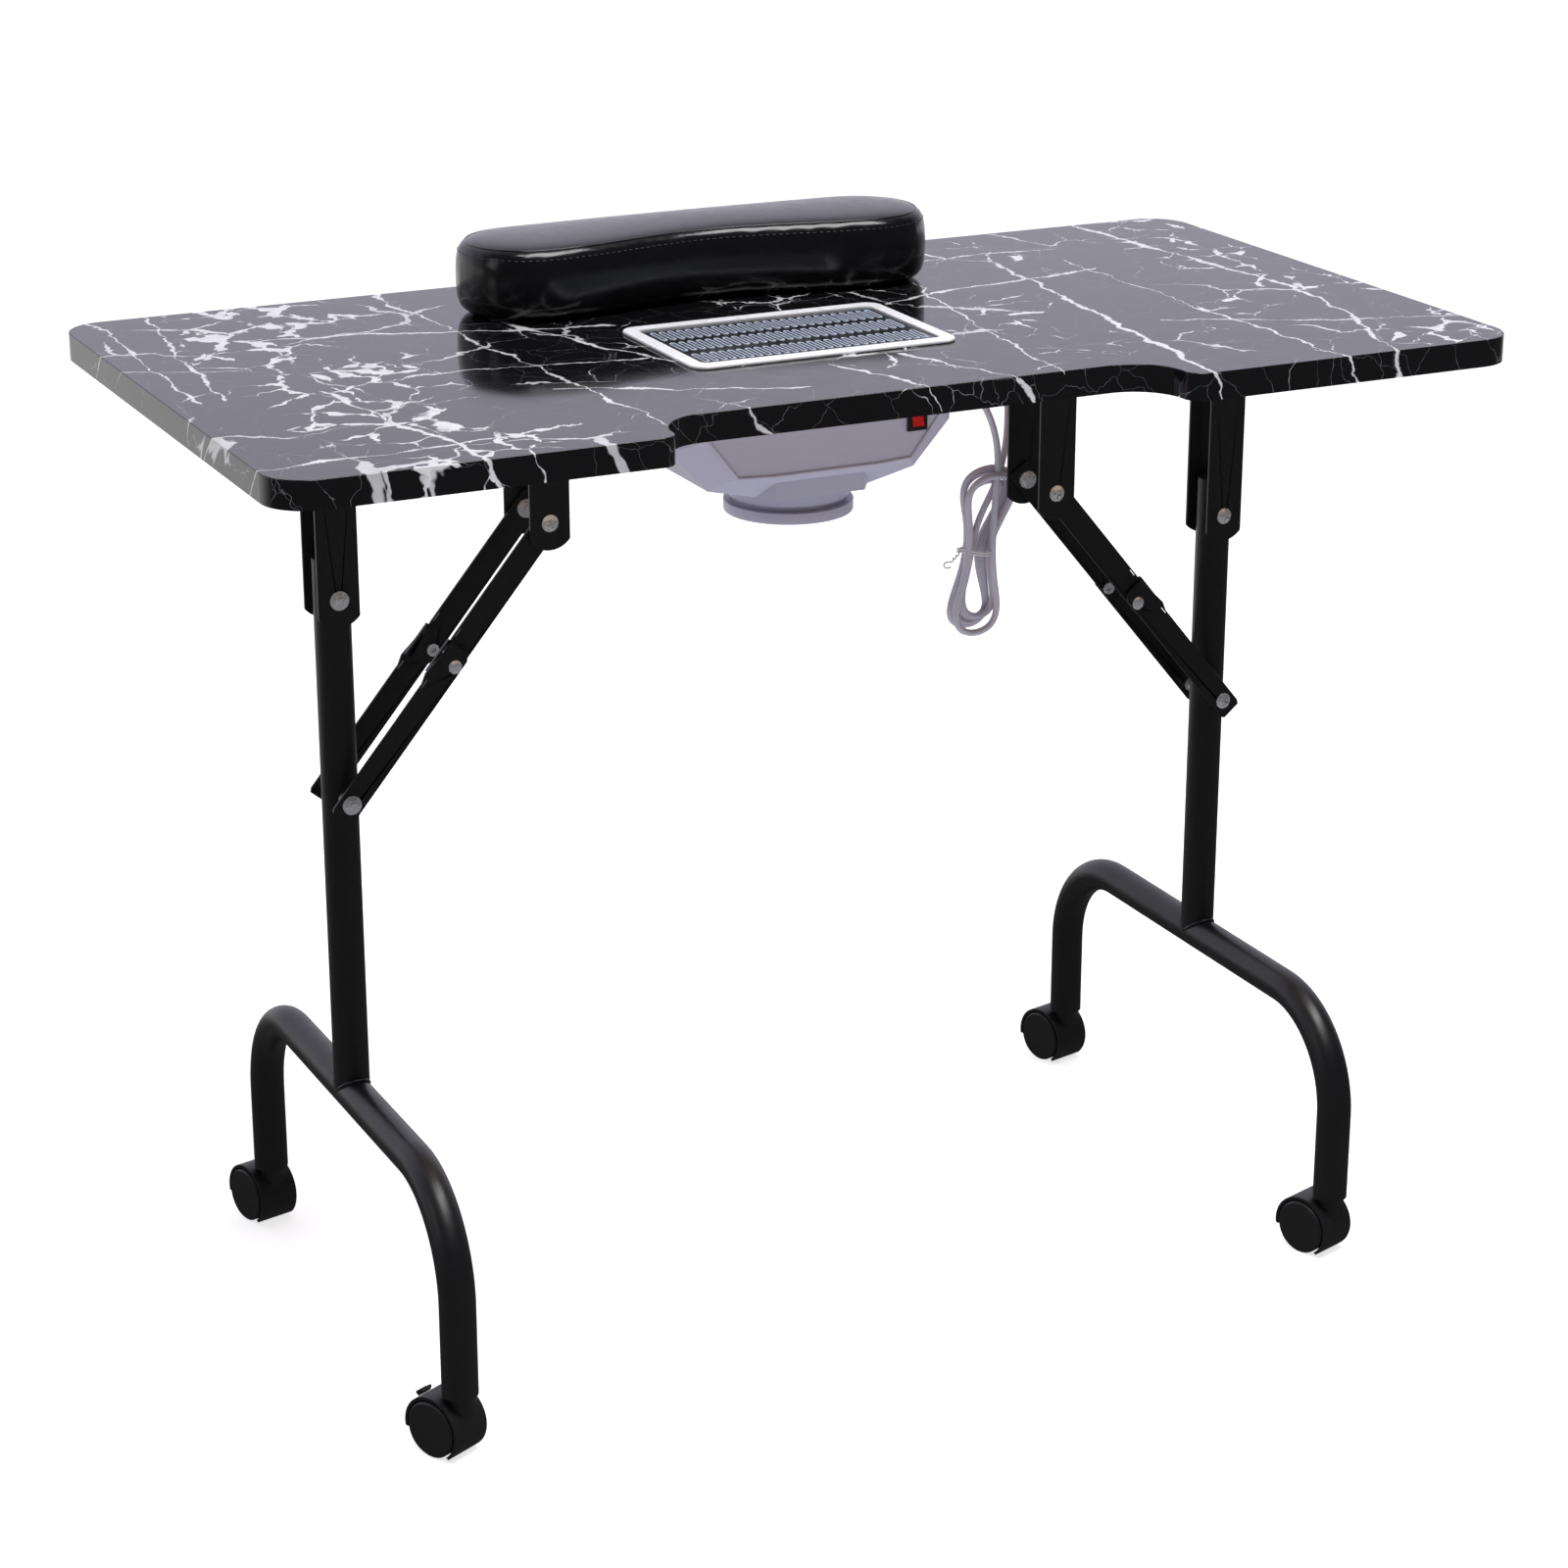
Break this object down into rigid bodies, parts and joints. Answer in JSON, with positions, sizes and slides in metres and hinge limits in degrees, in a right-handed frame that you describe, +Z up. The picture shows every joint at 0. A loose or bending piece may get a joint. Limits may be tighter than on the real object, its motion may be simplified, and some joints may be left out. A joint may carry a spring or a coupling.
{
  "type": "folding manicure table",
  "caption": "Folding manicure table: marble-look top with knee recess, vented dust collector, kidney hand rest and braced castered legs that fold under.",
  "frame": {"origin": "centre of the footprint of the top, on the floor", "axes": "+X to the right along the length of the top, +Y from the recessed front edge to the back, +Z up"},
  "size_m": [0.9, 0.47, 0.743],
  "materials": {
    "board": "raw particle board",
    "marble": "glossy black laminate with fine white marble veins",
    "white_trim": "fine satin white moulding",
    "grille": "glossy dark grey plate with pale slot rims",
    "filter": "non-woven dust filter",
    "hopper": "satin pale lilac-grey moulding",
    "fan": "black moulding",
    "switch_black": "black moulding",
    "switch_red": "translucent red moulding",
    "cover": "glossy black faux leather",
    "frame_black": "satin black powder coat",
    "zinc": "bright zinc plate",
    "caster_black": "semi-gloss black nylon",
    "cord_grey": "matt pale grey cord sheath",
    "plug_grey": "moulded pale grey plug",
    "pin_brass": "nickel-tinted brass pins",
    "tie": "thin plastic-covered wire"
  },
  "bodies": {
    "table": {"bracket_screws": "zinc", "cable_clip": "tie", "cord_gland": "cord_grey", "cord_hank": "cord_grey", "cord_lead": "cord_grey", "cord_tail": "cord_grey", "dust_filter": "filter", "dust_hopper": "hopper", "fan_frame": "fan", "hand_rest_cushion": "cover", "hank_tie": "tie", "hopper_screws": "zinc", "left_brace_bracket": "frame_black", "left_hinge_bracket": "frame_black", "outlet_collar": "hopper", "pivot_bolts": "zinc", "pivot_nuts": "zinc", "plug_body": "plug_grey", "plug_pins": "pin_brass", "right_brace_bracket": "frame_black", "right_hinge_bracket": "frame_black", "switch_bezel": "switch_black", "tabletop_board": "board", "tabletop_laminate": "marble", "vent_frame": "white_trim", "vent_grille": "grille"},
    "caster_front_left_brake": {"caster_front_left_brake": "caster_black"},
    "caster_front_left_swivel": {"caster_front_left_hood": "caster_black"},
    "caster_front_left_wheels": {"caster_front_left_wheels": "caster_black"},
    "caster_front_right_swivel": {"caster_front_right_hood": "caster_black"},
    "caster_front_right_wheels": {"caster_front_right_wheels": "caster_black"},
    "caster_rear_left_swivel": {"caster_rear_left_hood": "caster_black"},
    "caster_rear_left_wheels": {"caster_rear_left_wheels": "caster_black"},
    "caster_rear_right_swivel": {"caster_rear_right_hood": "caster_black"},
    "caster_rear_right_wheels": {"caster_rear_right_wheels": "caster_black"},
    "impeller": {"fan_impeller": "fan"},
    "left_leg": {"left_base_arch": "frame_black", "left_brace_bolt": "zinc", "left_brace_spacers": "zinc", "left_caster_sockets": "caster_black", "left_post": "frame_black", "left_post_cap": "caster_black"},
    "left_lower_brace": {"left_knee_rivet_heads": "zinc", "left_lower_links": "frame_black"},
    "left_upper_brace": {"left_knee_rivet_tails": "zinc", "left_upper_links": "frame_black"},
    "right_leg": {"right_base_arch": "frame_black", "right_brace_bolt": "zinc", "right_brace_spacers": "zinc", "right_caster_sockets": "caster_black", "right_post": "frame_black", "right_post_cap": "caster_black"},
    "right_lower_brace": {"right_knee_rivet_heads": "zinc", "right_lower_links": "frame_black"},
    "right_upper_brace": {"right_knee_rivet_tails": "zinc", "right_upper_links": "frame_black"},
    "rocker": {"switch_rocker": "switch_red"}
  },
  "joints": [
    {"name": "left_leg_fold", "type": "hinge", "parent": "table", "child": "left_leg", "pos_m": [-0.344, -0.017, 0.547], "axis": [0, -1, 0], "range_deg": [0, 90]},
    {"name": "left_upper_brace_turn", "type": "hinge", "parent": "table", "child": "left_upper_brace", "pos_m": [-0.196, -0.017, 0.584], "axis": [0, 1, 0], "range_deg": [0, 53.6]},
    {"name": "left_lower_brace_turn", "type": "hinge", "parent": "left_leg", "child": "left_lower_brace", "pos_m": [-0.344, -0.017, 0.406], "axis": [0, -1, 0], "range_deg": [0, 21.7]},
    {"name": "right_leg_fold", "type": "hinge", "parent": "table", "child": "right_leg", "pos_m": [0.344, -0.017, 0.521], "axis": [0, 1, 0], "range_deg": [0, 90]},
    {"name": "right_upper_brace_turn", "type": "hinge", "parent": "table", "child": "right_upper_brace", "pos_m": [0.196, -0.017, 0.558], "axis": [0, -1, 0], "range_deg": [0, 53.6]},
    {"name": "right_lower_brace_turn", "type": "hinge", "parent": "right_leg", "child": "right_lower_brace", "pos_m": [0.344, -0.017, 0.38], "axis": [0, 1, 0], "range_deg": [0, 21.7]},
    {"name": "caster_front_left_swivel_turn", "type": "hinge", "parent": "left_leg", "child": "caster_front_left_swivel", "pos_m": [-0.344, -0.213, 0.046], "axis": [0, 0, 1], "continuous": true},
    {"name": "caster_front_left_roll", "type": "hinge", "parent": "caster_front_left_swivel", "child": "caster_front_left_wheels", "pos_m": [-0.35014, -0.20042, 0.02], "axis": [0.8988, 0.4384, 0], "continuous": true},
    {"name": "caster_front_left_brake_press", "type": "hinge", "parent": "caster_front_left_swivel", "child": "caster_front_left_brake", "pos_m": [-0.35841, -0.18345, 0.037], "axis": [-0.8988, -0.4384, 0], "range_deg": [0, 12]},
    {"name": "caster_front_right_swivel_turn", "type": "hinge", "parent": "right_leg", "child": "caster_front_right_swivel", "pos_m": [0.344, -0.213, 0.046], "axis": [0, 0, 1], "continuous": true},
    {"name": "caster_front_right_roll", "type": "hinge", "parent": "caster_front_right_swivel", "child": "caster_front_right_wheels", "pos_m": [0.33967, -0.19969, 0.02], "axis": [0.9511, 0.309, 0], "continuous": true},
    {"name": "caster_rear_left_swivel_turn", "type": "hinge", "parent": "left_leg", "child": "caster_rear_left_swivel", "pos_m": [-0.344, 0.179, 0.046], "axis": [0, 0, 1], "continuous": true},
    {"name": "caster_rear_left_roll", "type": "hinge", "parent": "caster_rear_left_swivel", "child": "caster_rear_left_wheels", "pos_m": [-0.34739, 0.19258, 0.02], "axis": [0.9703, 0.2419, 0], "continuous": true},
    {"name": "caster_rear_right_swivel_turn", "type": "hinge", "parent": "right_leg", "child": "caster_rear_right_swivel", "pos_m": [0.344, 0.179, 0.046], "axis": [0, 0, 1], "continuous": true},
    {"name": "caster_rear_right_roll", "type": "hinge", "parent": "caster_rear_right_swivel", "child": "caster_rear_right_wheels", "pos_m": [0.34061, 0.19258, 0.02], "axis": [0.9703, 0.2419, 0], "continuous": true},
    {"name": "fan_spin", "type": "hinge", "parent": "table", "child": "impeller", "pos_m": [-0.0065, -0.017, 0.6], "axis": [0, 0, 1], "continuous": true},
    {"name": "switch_press", "type": "hinge", "parent": "table", "child": "rocker", "pos_m": [0.0635, -0.072, 0.638], "axis": [-1, 0, 0], "range_deg": [0, 11]}
  ],
  "couplings": [
    {"joint": "left_upper_brace_turn", "follows": "left_leg_fold", "ratio": 0.59548},
    {"joint": "left_lower_brace_turn", "follows": "left_leg_fold", "ratio": 0.24057},
    {"joint": "right_upper_brace_turn", "follows": "right_leg_fold", "ratio": 0.59548},
    {"joint": "right_lower_brace_turn", "follows": "right_leg_fold", "ratio": 0.24057}
  ]
}
